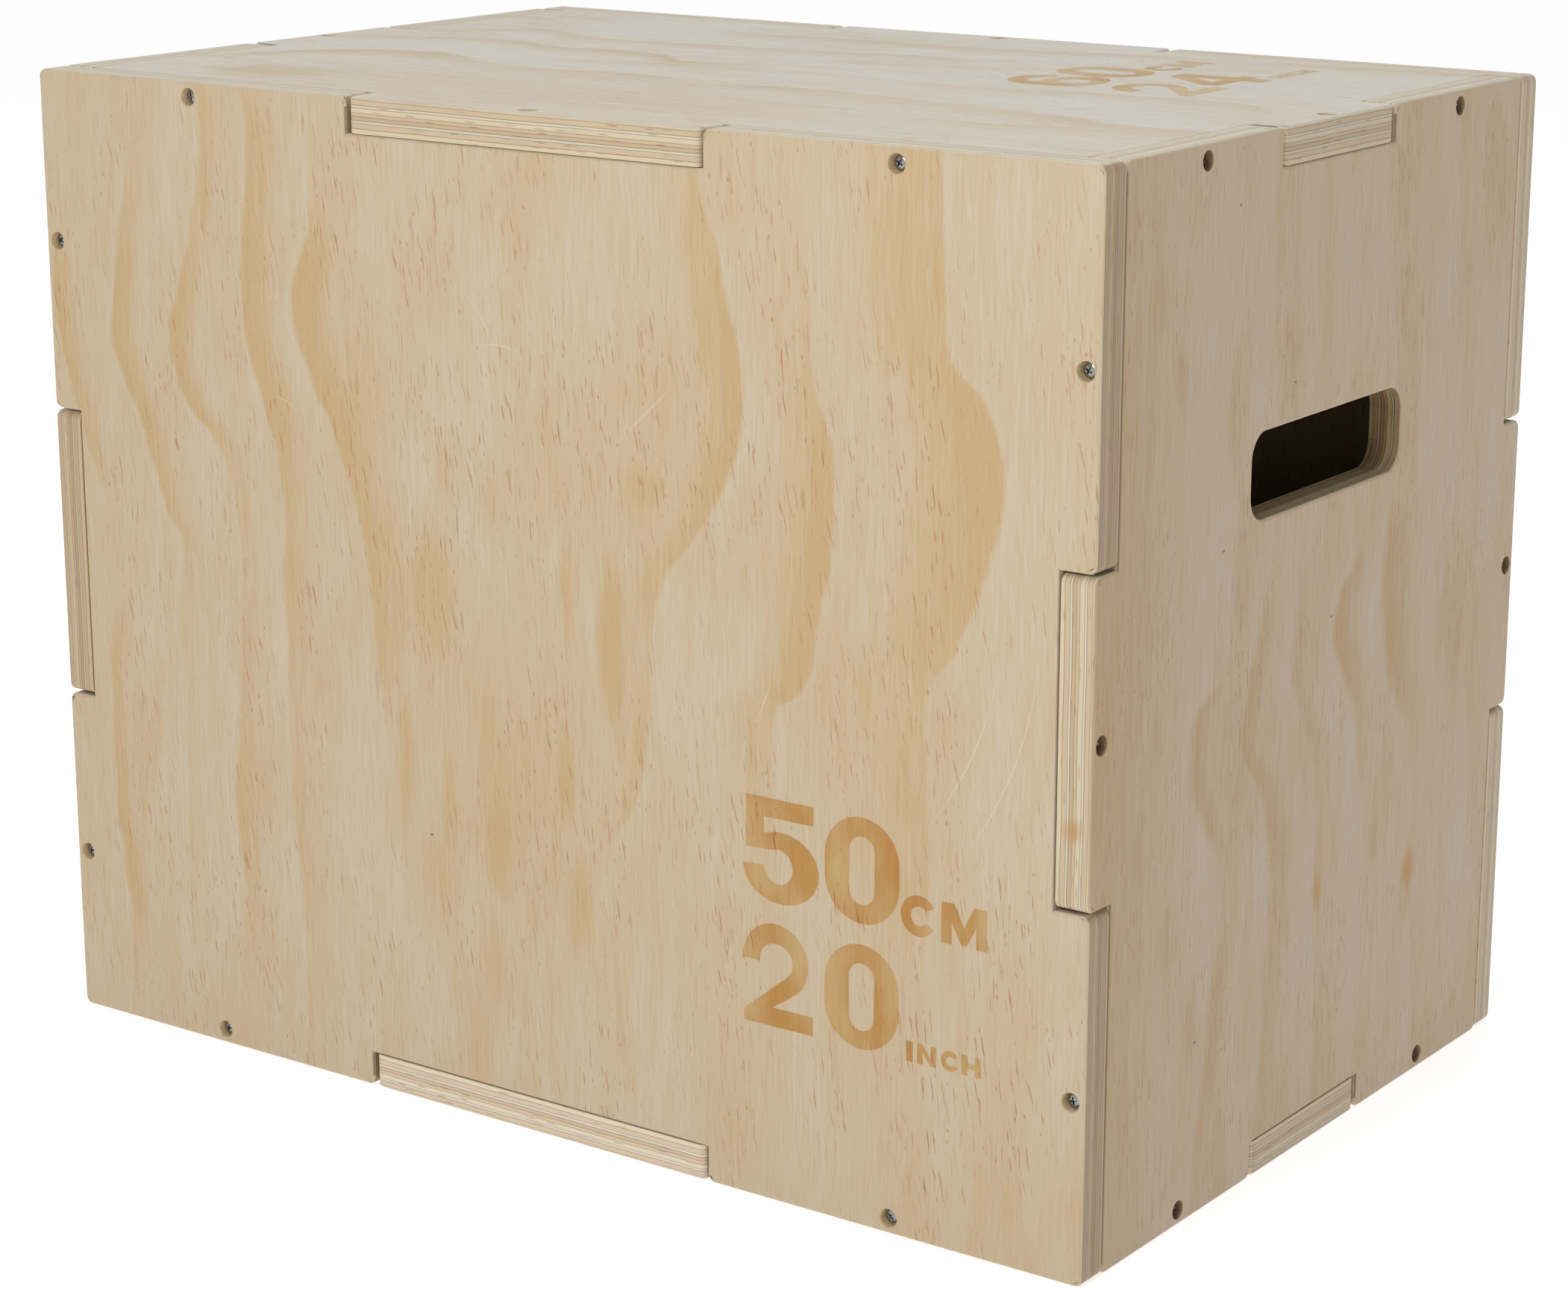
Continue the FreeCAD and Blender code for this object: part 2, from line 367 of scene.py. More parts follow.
RIGHT_SPOTS = [
    # Darker along the front edge: partly the veneer's own browner tone, partly painted shade
    Spot(0, 300, 130, 700, 0.6),
    Spot(55, 75, 35, 45, 0.5),
    Spot(80, 115, 16, 40, 0.5),
]
RIGHT_KNOTS = [
    Spot(255, 446, 8, 15, 0.8),
    Spot(255, 440, 9, 50, 0.3),
    Spot(372, 464, 11, 18, 1.0),
    Spot(372, 472, 12, 48, 0.4),
]
RIGHT_EDGE_KNOTS = [Spot(11, 346, 9, 10, 0.7)]

TOP_BANDS = [
    Band(RIGHTWARD, 18, [
        (0, 70, 0.5), (50, 72, 0.5), (100, 75, 0.1), (200, 75, 0.2), (230, 77, 0.5),
        (300, 70, 0.55), (385, 70, 0.6), (450, 60, 0.4), (510, 42, 0.5), (570, 40, 0.4),
        (650, 28, 0.45), (750, 24, 0.4),
    ]),
    Band(RIGHTWARD, 18, [
        (0, 168, 0.4), (55, 167, 0.45), (75, 147, 0.6), (105, 137, 0.6), (130, 146, 0.5),
        (165, 160, 0.4), (250, 150, 0.55), (325, 142, 0.5), (390, 128, 0.55), (430, 134, 0.4),
        (470, 150, 0), (750, 150, 0),
    ]),
    Band(RIGHTWARD, 14, [
        (0, 190, 0), (340, 185, 0), (375, 180, 0.4), (430, 168, 0.45), (480, 150, 0.4),
        (510, 140, 0.2), (600, 120, 0), (750, 110, 0),
    ]),
    Band(RIGHTWARD, 18, [
        (0, 240, 0.4), (55, 225, 0.5), (100, 203, 0.55), (140, 206, 0.6), (175, 218, 0.7),
        (225, 212, 0.7), (265, 218, 0.7), (290, 237, 0.8), (310, 235, 0.7), (350, 225, 0.4),
        (380, 222, 0), (750, 220, 0),
    ]),
    Band(RIGHTWARD, 18, [
        (0, 280, 0), (200, 270, 0), (240, 265, 0.4), (300, 253, 0.45), (375, 245, 0.2),
        (450, 246, 0.2), (520, 252, 0.4), (580, 240, 0.45), (690, 240, 0.5), (715, 260, 0.3),
        (750, 262, 0.2),
    ]),
    Band(RIGHTWARD, 28, [
        (0, 390, 0.3), (40, 360, 0.5), (50, 345, 0.7), (65, 320, 0.7), (100, 295, 0.7),
        (135, 288, 0.7), (165, 295, 0.6), (190, 312, 0.4), (240, 320, 0.5), (300, 312, 0.6),
        (350, 317, 0.4), (375, 325, 0.3), (425, 315, 0.6), (500, 320, 0.5), (565, 330, 0.45),
        (640, 345, 0.5), (665, 355, 0.5), (750, 354, 0.4),
    ]),
    Band(RIGHTWARD, 30, [
        (0, 500, 0), (200, 470, 0.2), (280, 440, 0.35), (360, 430, 0.35), (450, 405, 0.4),
        (525, 400, 0.3), (625, 385, 0.4), (725, 368, 0.4), (750, 366, 0.4),
    ]),
]
TOP_SPOTS = [
    Spot(428, 130, 60, 80, 0.75),
    Spot(428, 104, 54, 34, 0.7),
    Spot(430, 330, 190, 480, 0.4),
    Spot(60, 60, 40, 70, 0.3),
]

WIDTH, DEPTH, HEIGHT = [(high - low) / MM for low, high in zip(LOW, HIGH)]
PANELS = {
    "front_panel": Panel(Vector((LOW.x, LOW.y, HIGH.z)), X, -Z, Y, WIDTH, HEIGHT, 0),
    "right_side_panel": Panel(Vector((HIGH.x, LOW.y, HIGH.z)), Y, -Z, -X, DEPTH, HEIGHT, 900),
    "top_panel": Panel(Vector((LOW.x, HIGH.y, HIGH.z)), -Y, X, -Z, DEPTH, WIDTH, 1800),
    "back_panel": Panel(Vector((LOW.x, HIGH.y, LOW.z)), X, Z, -Y, WIDTH, HEIGHT, 2700),
    "left_side_panel": Panel(Vector((LOW.x, LOW.y, LOW.z)), Y, Z, X, DEPTH, HEIGHT, 3600),
    "bottom_panel": Panel(Vector((HIGH.x, LOW.y, LOW.z)), Y, -X, Z, DEPTH, WIDTH, 4500),
}
FRONT_FLECKS = [(300, 430)]
RIGHT_FLECKS = [(139, 36), (132, 221), (207, 141), (260, 284), (116, 496)]
TOP_FLECKS = [(310, 420)]
FRONT_FIGURE = Figure(
    pale=PALE,
    ochre=OCHRE,
    cut=LIT_BORE_WALL,
    plies=BROWN_PLIES,
    ends=SHEEN_PLIES,
    bands=FRONT_BANDS,
    spots=FRONT_SPOTS,
    clouds=0.4,
    knots=[],
    edge_knots=[],
    resin=[Spot(350, 175, 200, 120, 1)],
    slant=0.14,
    flecks=FRONT_FLECKS,
    scuffs=FRONT_SCUFFS,
    softness=3.0,
    seam=X,
)
RIGHT_FIGURE = Figure(
    pale=SIDE_PALE_SHADED,
    ochre=SIDE_OCHRE_SHADED,
    cut=SHADED_BORE_WALL,
    plies=CLEAN_PLIES,
    ends=SHEEN_PLIES,
    bands=RIGHT_BANDS,
    spots=RIGHT_SPOTS,
    clouds=0.4,
    knots=RIGHT_KNOTS,
    edge_knots=RIGHT_EDGE_KNOTS,
    resin=[],
    slant=0.03,
    flecks=RIGHT_FLECKS,
    scuffs=[],
    softness=7.0,
    seam=-Y,
)
TOP_FIGURE = Figure(
    pale=TOP_PALE_WITH_SHEEN,
    ochre=TOP_OCHRE,
    cut=LIT_BORE_WALL,
    plies=CLEAN_PLIES,
    ends=GREY_PLIES,
    bands=TOP_BANDS,
    spots=TOP_SPOTS,
    clouds=0.2,
    knots=[],
    edge_knots=[],
    resin=[],
    slant=0.0,
    flecks=TOP_FLECKS,
    scuffs=[],
    softness=6.0,
    seam=-Y,
)
FIGURES = {
    "front_panel": FRONT_FIGURE,
    "back_panel": FRONT_FIGURE._replace(plies=GREY_PLIES),
    "right_side_panel": RIGHT_FIGURE,
    "left_side_panel": RIGHT_FIGURE._replace(plies=SHADED_PLIES, edge_knots=[]),
    "top_panel": TOP_FIGURE,
    "bottom_panel": TOP_FIGURE._replace(plies=LIT_PLIES),
}


class Graph:
    """Nodes of a material or of the sky, added by short calls that take and return sockets."""

    def __init__(self, owner):
        self.owner = owner
        owner.use_nodes = True
        self.tree = owner.node_tree
        self.tree.nodes.clear()

    def node(self, kind, inputs, **settings):
        """Adds a node, with values or other nodes' sockets for its inputs, by name or number."""
        node = self.tree.nodes.new("ShaderNode" + kind)
        for key, value in settings.items():
            setattr(node, key, value)
        for key, value in inputs.items():
            if isinstance(value, bpy.types.NodeSocket):
                self.tree.links.new(value, node.inputs[key])
            else:
                node.inputs[key].default_value = value
        return node

    def math(self, operation, *values):
        return self.node("Math", dict(enumerate(values)), operation=operation).outputs[0]

    def vector(self, operation, *values):
        node = self.node("VectorMath", dict(enumerate(values)), operation=operation)
        return node.outputs["Value" if operation in ("DOT_PRODUCT", "LENGTH") else "Vector"]

    def join(self, *values):
        return self.node("CombineXYZ", dict(enumerate(values))).outputs[0]

    def range(self, value, start, end, low=0.0, high=1.0, kind="SMOOTHSTEP"):
        """Value from start to end, mapped to low to high."""
        inputs = {0: value, 1: start, 2: end, 3: low, 4: high}
        return self.node("MapRange", inputs, interpolation_type=kind).outputs[0]

    def curve(self, value, points):
        """A smooth line through points, from 0 to 1 both ways."""
        node = self.node("FloatCurve", {"Value": value})
        line = node.mapping.curves[0]
        for place, (x, y) in zip(line.points, (points[0], points[-1])):
            place.location = x, y
        for x, y in points[1:-1]:
            line.points.new(x, y)
        node.mapping.update()
        return node.outputs[0]

    def ramp(self, value, stops):
        """Colours between stops of (position, colour)."""
        node = self.node("ValToRGB", {0: value})
        elements = node.color_ramp.elements
        elements.remove(elements[-1])
        elements[0].position, elements[0].color = stops[0]
        for position, colour in stops[1:]:
            elements.new(position).color = colour
        return node.outputs[0]

    def noise(self, place, sizes, detail=2.0, roughness=0.5):
        """Noise at a place, with the sizes of its grains along the three axes."""
        inputs = {"Vector": self.vector("DIVIDE", place, sizes), "Scale": 1.0}
        inputs.update({"Detail": detail, "Roughness": roughness})
        return self.node("TexNoise", inputs).outputs[0]

    def mix(self, share, first, second, blend="MIX"):
        inputs = {0: share, 6: first, 7: second}
        return self.node("Mix", inputs, data_type="RGBA", blend_type=blend).outputs[2]

    def shade(self, colour, share):
        """A colour made lighter or darker."""
        return self.node("VectorMath", {0: colour, "Scale": share}, operation="SCALE").outputs[0]

    def most(self, values):
        result = values[0]
        for value in values[1:]:
            result = self.math("MAXIMUM", result, value)
        return result

    def finish(self, inputs):
        shader = self.node("BsdfPrincipled", inputs)
        self.node("OutputMaterial", {0: shader.outputs[0]})
        return self.owner


def survey(graph, panel, figure):
    """Where a place lies on its panel, how the grain runs there and how the surface faces."""
    position = graph.node("TexCoord", {}).outputs["Object"]
    local = graph.vector("SUBTRACT", position, panel.corner)
    axes = (panel.across, panel.along, panel.inward)
    across, along, depth = [graph.vector("DOT_PRODUCT", local, axis / MM) for axis in axes]
    place = graph.join(across, along, graph.math("ADD", depth, panel.seed))
    wander = graph.noise(place, WANDER_GRAIN, 3.0)
    lean = graph.math("MULTIPLY_ADD", wander, WANDER, graph.math("SUBTRACT", across, WANDER / 2))
    fine = graph.noise(graph.join(lean, along, panel.seed), FINE_GRAIN, 3.0, 0.6)
    normal = graph.node("NewGeometry", {}).outputs["Normal"]
    facing = graph.math("ABSOLUTE", graph.vector("DOT_PRODUCT", normal, panel.inward))
    sideways = graph.math("ABSOLUTE", graph.vector("DOT_PRODUCT", normal, panel.across))
    return Wood(graph, panel, figure, across, along, depth, place, lean, fine, normal, facing, sideways)


def band_tone(wood, band):
    """How dark a band makes a place, and how pale a place just before its sharp edge is."""
    graph, panel, softness = wood.graph, wood.panel, wood.figure.softness
    share = graph.math("DIVIDE", wood.along, panel.length)
    edge = graph.curve(share, [(a / panel.length, b / panel.width) for a, b, _ in band.points])
    strength = graph.curve(share, [(a / panel.length, s) for a, _, s in band.points])
    beyond = graph.math("MULTIPLY_ADD", edge, -panel.width, wood.lean)
    beyond = graph.math("MULTIPLY", beyond, float(band.side))
    rise = graph.range(beyond, -softness, softness)
    fall = graph.range(beyond, 0.0, BAND_REACH * band.fade, 1.0, 0.0)
    tone = graph.math("MULTIPLY", graph.math("MULTIPLY", rise, fall), strength)
    near = graph.range(beyond, -PALE_REACH, 0.0)
    before = graph.math("MULTIPLY", near, graph.math("SUBTRACT", 1.0, rise))
    return tone, graph.math("MULTIPLY", before, strength)


def spot_tone(graph, place, spot):
    """How dark a soft spot makes a place."""
    scale = (1 / spot.half_width, 1 / spot.half_length, 0)
    start = (-spot.across / spot.half_width, -spot.along / spot.half_length, 0)
    reach = graph.vector("LENGTH", graph.vector("MULTIPLY_ADD", place, scale, start))
    return graph.range(reach, 1.0, 0.0, 0.0, spot.strength)


def scuff_tone(wood, points):
    """A thin arc through three places, fading out at its ends."""
    graph = wood.graph
    first, middle, last = [Vector(point) for point in points]
    chords = Matrix((middle - first, last - middle))
    halves = Vector((chords[0].dot(first + middle) / 2, chords[1].dot(middle + last) / 2))
    centre = chords.inverted() @ halves
    reach = max((middle - first).length, (last - middle).length)
    place = graph.join(wood.across, wood.along)
    away = graph.vector("LENGTH", graph.vector("SUBTRACT", place, (*centre, 0)))
    off = graph.math("ABSOLUTE", graph.math("SUBTRACT", away, (middle - centre).length))
    line = graph.range(off, 0.5, 0.15, 0.0, SCUFF_SHARE)
    return graph.math("MULTIPLY", line, spot_tone(graph, place, Spot(*middle, reach, reach, 1)))


def dashes(graph, across, along, cell, size, kept):
    """Short dashes along the grain, one at most in each cell of this width and length."""
    place = graph.vector("DIVIDE", graph.join(across, along), (cell[0], cell[1], 1))
    cells = graph.node("TexVoronoi", {"Vector": place, "Scale": 1.0}, voronoi_dimensions="2D")
    away = graph.vector("SUBTRACT", place, cells.outputs["Position"])
    away = graph.vector("MULTIPLY", away, (cell[0] / size[0], cell[1] / size[1], 0))
    chance = graph.node("SeparateColor", {0: cells.outputs["Color"]})
    inside = graph.range(graph.vector("LENGTH", away), 1.0, 0.5)
    there = graph.math("LESS_THAN", chance.outputs[0], kept)
    depth = graph.math("MULTIPLY_ADD", chance.outputs[1], 0.7, 0.3)
    return graph.math("MULTIPLY", graph.math("MULTIPLY", inside, there), depth)


def ply_stops():
    """Colours through the sheet: each ply, with a darker glue line between two."""
    stops = []
    top = 0
    for thickness, colour in PLIES:
        bottom = top + thickness
        stops += [((top + GLUE_LINE) / SHEET, colour), ((bottom - GLUE_LINE) / SHEET, colour)]
        stops.append((bottom / SHEET, [GLUE_SHADE * part for part in colour[:3]] + [1]))
        top = bottom
    return stops[:-1]


def bore_mask(wood, screws):
    """One inside the panel's counterbores, and nought outside."""
    tones = []
    for crown in screws:
        local = (crown - wood.panel.corner) / MM
        middle = local.dot(wood.panel.across), local.dot(wood.panel.along)
        tones.append(spot_tone(wood.graph, wood.place, Spot(*middle, BORE_REACH, BORE_REACH, 1)))
    return wood.graph.range(wood.graph.most(tones), 0.04, 0.08)


def inside_mask(wood, margin):
    """One where a place lies farther than a margin from the box's outline, and nought elsewhere."""
    graph, panel = wood.graph, wood.panel
    inside = []
    for place, span in ((wood.across, panel.width), (wood.along, panel.length)):
        off = graph.math("ABSOLUTE", graph.math("SUBTRACT", place, span / 2))
        inside.append(graph.math("LESS_THAN", off, span / 2 - margin))
    return graph.math("MULTIPLY", *inside)


def edge_colour(wood, bored, slotted):
    """The sheet's edge: wandering plies with streaks, brown voids and knots, and the walls of holes.

    The walls of the slots carry painted shade; the walls of the holes carry painted light on some panels
    and painted shade on others.
    """
    graph, figure, depth = wood.graph, wood.figure, wood.depth
    drift = graph.noise(wood.place, DRIFT_GRAIN)
    level = graph.math("MULTIPLY_ADD", drift, PLY_DRIFT, graph.math("SUBTRACT", depth, PLY_DRIFT / 2))
    colour = graph.ramp(graph.math("DIVIDE", level, SHEET), ply_stops())
    streaks = graph.noise(wood.place, PLY_GRAIN, 3.0, 0.65)
    colour = graph.shade(colour, graph.range(streaks, 0.3, 0.7, *PLY_SHADE, "LINEAR"))
    tint = graph.mix(graph.range(wood.sideways, 0.4, 0.6), figure.ends, figure.plies)
    colour = graph.mix(1.0, colour, tint, "MULTIPLY")
    # Painted shade on the walls of the slot
    colour = graph.mix(graph.math("MULTIPLY", slotted, SLOT_PAINTED_SHADE), colour, colour, "MULTIPLY")
    voids = dashes(graph, depth, graph.math("ADD", wood.across, wood.along), *VOID_LAYER)
    colour = graph.mix(graph.math("MULTIPLY", voids, VOID_SHARE), colour, VOID)
    for knot in figure.edge_knots:
        near = graph.math("LESS_THAN", wood.across, SHEET)
        tone = spot_tone(graph, graph.join(depth, wood.along), knot)
        colour = graph.mix(graph.math("MULTIPLY", tone, near), colour, KNOT)
    # The counterbores' walls: painted light on some panels, painted shade on others
    return graph.mix(graph.math("MULTIPLY", bored, BORE_LIGHTING_SHARE), colour, figure.cut)


def face_tone(wood):
    """How far the face's wood is from pale to ochre."""
    graph, figure = wood.graph, wood.figure
    bands = [band_tone(wood, band) for band in figure.bands]
    leaning = graph.join(wood.lean, wood.along)
    tones = [tone for tone, _ in bands] + [spot_tone(graph, leaning, spot) for spot in figure.spots]
    cloud = graph.noise(wood.place, CLOUD_GRAIN, 3.0)
    tones.append(graph.range(cloud, 0.4, 0.7, 0.0, figure.clouds))
    streaks = graph.noise(wood.place, STREAK_GRAIN, 3.0, 0.6)
    streaks = graph.range(streaks, *NOISE_SPAN, *STREAK_SHADE, "LINEAR")
    tone = graph.math("MULTIPLY", graph.most(tones), streaks)
    strips = graph.noise(wood.place, STRIP_GRAIN, 3.0, 0.6)
    tone = graph.math("ADD", tone, graph.range(strips, 0.4, 0.75, *STRIP_TONE))
    tone = graph.math("MULTIPLY_ADD", graph.most([before for _, before in bands]), -PALE_SHARE, tone)
    return graph.math("ADD", tone, graph.range(wood.fine, *NOISE_SPAN, *FINE_TONE, "LINEAR"))


def resin_tone(wood):
    """Resin canals: fine dashes along the grain, thicker in some places than in others."""
    graph, figure = wood.graph, wood.figure
    across = graph.math("ADD", wood.lean, wood.panel.seed)
    slanted = graph.math("MULTIPLY_ADD", wood.along, -figure.slant, across)
    layers = [dashes(graph, slanted, wood.along, *layer) for layer in RESIN_LAYERS]
    cluster = graph.range(graph.noise(wood.place, RESIN_GRAIN), 0.38, 0.65, 0.2, 1.0)
    clusters = [cluster] + [spot_tone(graph, wood.place, spot) for spot in figure.resin]
    return graph.math("MULTIPLY", graph.most(layers), graph.most(clusters))


def face_colour(wood, resin):
    """The sheet's face: bands and grain from pale to ochre, with resin, knots, flecks and scuffs."""
    graph, figure = wood.graph, wood.figure
    colour = graph.mix(face_tone(wood), figure.pale, figure.ochre)
    colour = graph.shade(colour, graph.range(wood.fine, *NOISE_SPAN, *FINE_SHADE, "LINEAR"))
    colour = graph.mix(graph.math("MULTIPLY", resin, RESIN_SHARE), colour, RESIN)
    for knot in figure.knots:
        streaks = graph.range(wood.fine, 0.3, 0.7, *KNOT_SHADE)
        streaky = graph.math("MULTIPLY", spot_tone(graph, wood.place, knot), streaks)
        colour = graph.mix(streaky, colour, KNOT)
    flecks = [spot_tone(graph, wood.place, Spot(*fleck, *FLECK_SIZE, 1.0)) for fleck in figure.flecks]
    colour = graph.mix(graph.range(graph.most(flecks), 0.2, 0.5, 0.0, FLECK_SHARE), colour, FLECK)
    for scuff in figure.scuffs:
        colour = graph.mix(scuff_tone(wood, scuff), colour, SCUFF)
    return colour


def stained_colour(wood, colour):
    """A face's colour under the stain of a size mark, which is cloudy and lets the figure show."""
    graph = wood.graph
    cloud = graph.noise(wood.place, STAIN_GRAIN)
    stain = graph.mix(graph.range(cloud, 0.35, 0.65), STAIN_DARK, STAIN_LIGHT)
    return graph.mix(1.0, colour, stain, "MULTIPLY")


def rim_colour(wood, colour, bored, slotted):
    """A face's colour with its eased rims sanded pale, and painted shade in the groove along one joint.
    """
    graph = wood.graph
    jointed = graph.math("SUBTRACT", inside_mask(wood, JOINT_MARGIN), slotted)
    jointed = graph.math("SUBTRACT", jointed, bored)
    eased = graph.range(wood.facing, 0.98, 0.75)
    colour = graph.mix(graph.math("MULTIPLY", eased, SANDED_SHARE), colour, SANDED)
    # Painted shade along one joint's groove, on the rim that faces that joint
    toward = graph.vector("DOT_PRODUCT", wood.normal, wood.figure.seam)
    share = graph.range(toward, 0.2, 0.5, 0.0, JOINT_SHADE_SHARE)
    seam = graph.math("MULTIPLY", eased, graph.math("MULTIPLY", jointed, share))
    return graph.mix(seam, colour, JOINT_SHADE)


def plywood(name, stained=False):
    """Material of one panel: its own figure on the faces, and plies on the edges."""
    graph = Graph(bpy.data.materials.new(name + ("_stain" if stained else "_plywood")))
    wood = survey(graph, PANELS[name], FIGURES[name])
    bored = bore_mask(wood, crowns(NODES[name + "_screws"], wood.panel))
    slotted = inside_mask(wood, SLOT_MARGIN)
    resin = resin_tone(wood)
    face = face_colour(wood, resin)
    if stained:
        face = stained_colour(wood, face)
    face = rim_colour(wood, face, bored, slotted)
    edge = edge_colour(wood, bored, slotted)
    middle = graph.math("ABSOLUTE", graph.math("SUBTRACT", wood.depth, SHEET / 2))
    skin = graph.math("GREATER_THAN", middle, SHEET / 2 - SKIN)
    outer = graph.math("MULTIPLY", graph.range(wood.facing, 0.4, 0.6), skin)
    height = graph.math("MULTIPLY_ADD", resin, -0.8, wood.fine)
    bump = graph.node("Bump", {"Strength": 0.25, "Distance": 0.2 * MM, "Height": height})
    return graph.finish({
        "Base Color": graph.mix(outer, edge, face),
        "Roughness": graph.range(wood.fine, 0.2, 0.8, *FINE_ROUGHNESS, "LINEAR"),
        "Specular IOR Level": 0.4,
        "Normal": bump.outputs[0],
    })


def zinc():
    """Bright zinc of the screws, coloured darker as a painted dark reflection, with fine tumbling marks.
    """
    graph = Graph(bpy.data.materials.new("zinc"))
    place = graph.node("TexCoord", {}).outputs["Object"]
    marks = graph.noise(place, [ZINC_GRAIN * MM] * 3, 3.0)
    bump = graph.node("Bump", {"Strength": 0.2, "Distance": 0.1 * MM, "Height": marks})
    return graph.finish({
        "Base Color": graph.mix(marks, ZINC_SHADED_DARK, ZINC_SHADED_LIGHT),
        "Metallic": 1.0,
        "Roughness": graph.range(marks, 0.3, 0.7, 0.12, 0.26, "LINEAR"),
        "Normal": bump.outputs[0],
    })


def add_object(name, data):
    piece = bpy.data.objects.new(name, data)
    bpy.context.scene.collection.objects.link(piece)
    return piece


def add_mesh(name, points, faces):
    mesh = bpy.data.meshes.new(name)
    mesh.from_pydata(points, [], faces)
    return add_object(name, mesh)


def evaluated_mesh(piece):
    """Mesh of a helper object with its modifiers done; the helper goes."""
    graph = bpy.context.evaluated_depsgraph_get()
    mesh = bpy.data.meshes.new_from_object(piece.evaluated_get(graph))
    bpy.data.objects.remove(piece)
    return mesh


def carry(piece, material):
    """Makes a new piece part of the box, with its finish."""
    piece.data.materials.clear()
    piece.data.materials.append(material)
    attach(piece, "root")


def dress_panels():
    """Gives each panel its own material, and rounds its edges a little."""
    for name in PANELS:
        piece = NODES[name]
        piece.data.materials.clear()
        piece.data.materials.append(plywood(name))
        weld = piece.modifiers.new("weld", "WELD")
        weld.merge_threshold = WELD_REACH * MM
        rim = piece.modifiers.new("rim", "BEVEL")
        rim.width = EDGE_ROUNDING * MM
        rim.segments = 2
        rim.limit_method = "ANGLE"
        rim.angle_limit = math.radians(30)
        rim.use_clamp_overlap = False


def turned(profile, steps):
    """Points and faces of a body turned about Z, through (radius, height) points from axis to axis."""
    points = [(0, 0, profile[0][1])]
    for radius, height in profile[1:-1]:
        for step in range(steps):
            angle = 2 * math.pi * step / steps
            points.append((radius * math.cos(angle), radius * math.sin(angle), height))
    points.append((0, 0, profile[-1][1]))
    rows = len(profile) - 2
    faces = []
    for step in range(steps):
        here, there = 1 + step, 1 + (step + 1) % steps
        faces.append((0, here, there))
        for row in range(rows - 1):
            drop = row * steps
            faces.append((here + drop, here + drop + steps, there + drop + steps, there + drop))
        last = (rows - 1) * steps
        faces.append((here + last, len(points) - 1, there + last))
    return points, faces


def cross_outline(reach, half):
    """Twelve corners of a cross about the middle."""
    corners = []
    for quarter in range(4):
        turn = Matrix.Rotation(quarter * math.pi / 2, 2)
        corners += [turn @ Vector(corner) for corner in ((reach, -half), (reach, half), (half, half))]
    return corners


def recess_cutter():
    """Tapered cross that is cut from a screw's head."""
    wide = cross_outline(RECESS_SPAN / 2, RECESS_WIDTH / 2)
    narrow = cross_outline(RECESS_SPAN / 4, RECESS_WIDTH / 4)
    top = [(*corner, RECESS_OVERRUN) for corner in wide]
    bottom = [(*corner, -RECESS_DEPTH) for corner in narrow]
    count = len(top)
    faces = [tuple(range(count)), tuple(reversed(range(count, 2 * count)))]
    for index in range(count):
        following = (index + 1) % count
        faces.append((index, index + count, following + count, following))
    return add_mesh("recess_cutter", top + bottom, faces)


def thread_ridge():
    """Points and faces of the thread: a ridge that winds down the shank and dies out at the point."""
    top = -HEAD_HEIGHT - THREAD_START
    bottom = -HEAD_HEIGHT - SCREW_LENGTH + THREAD_STOP
    count = int((top - bottom) / THREAD_PITCH * THREAD_STEPS)
    points, faces = [], []
    for step in range(count + 1):
        height = top - THREAD_PITCH * step / THREAD_STEPS
        angle = 2 * math.pi * step / THREAD_STEPS
        taper = min(1, (height - bottom) / POINT_LENGTH + THREAD_END)
        core = SHANK_RADIUS * taper * THREAD_CORE
        ridge = THREAD_RADIUS * taper
        for radius, rise in ((core, THREAD_HALF), (ridge, 0), (core, -THREAD_HALF)):
            points.append((radius * math.cos(angle), radius * math.sin(angle), height + rise))
    for step in range(count):
        first = 3 * step
        for corner in (first, first + 1):
            faces.append((corner, corner + 3, corner + 4, corner + 1))
    return points, faces


def screw_mesh():
    """One screw in millimetres, its crown at the origin and its point straight down."""
    angles = [math.radians(90 * (step + 1) / DOME_STEPS) for step in range(DOME_STEPS)]
    dome = HEAD_HEIGHT - HEAD_RIM
    profile = [(0, 0)] + [(HEAD_RADIUS * math.sin(a), dome * (math.cos(a) - 1)) for a in angles]
    seat = -HEAD_HEIGHT
    profile += [(HEAD_RADIUS, seat), (SHANK_RADIUS, seat)]
    profile += [(SHANK_RADIUS, seat - SCREW_LENGTH + POINT_LENGTH), (0, seat - SCREW_LENGTH)]
    body = add_mesh("screw_body", *turned(profile, SCREW_STEPS))
    cutter = recess_cutter()
    cut = body.modifiers.new("recess", "BOOLEAN")
    cut.operation = "DIFFERENCE"
    cut.object = cutter
    mesh = evaluated_mesh(body)
    bpy.data.objects.remove(cutter)

    shape = bmesh.new()
    shape.from_mesh(mesh)
    points, faces = thread_ridge()
    ridge = [shape.verts.new(point) for point in points]
    for face in faces:
        shape.faces.new([ridge[index] for index in face])
    bmesh.ops.recalc_face_normals(shape, faces=shape.faces)
    shape.to_mesh(mesh)
    shape.free()
    return mesh


def crowns(piece, panel):
    """Middles of the screw heads in a CAD node, at the level of their crowns."""
    depths = [(vertex.co - panel.corner).dot(panel.inward) for vertex in piece.data.vertices]
    groups = []
    for vertex, depth in zip(piece.data.vertices, depths):
        if depth > min(depths) + WELD_REACH * MM:
            continue
        near = [group for group in groups if (group[0] - vertex.co).length < 2 * HEAD_RADIUS * MM]
        if near:
            near[0].append(vertex.co)
        else:
            groups.append([vertex.co])
    return [Vector([(min(part) + max(part)) / 2 for part in zip(*group)]) for group in groups]


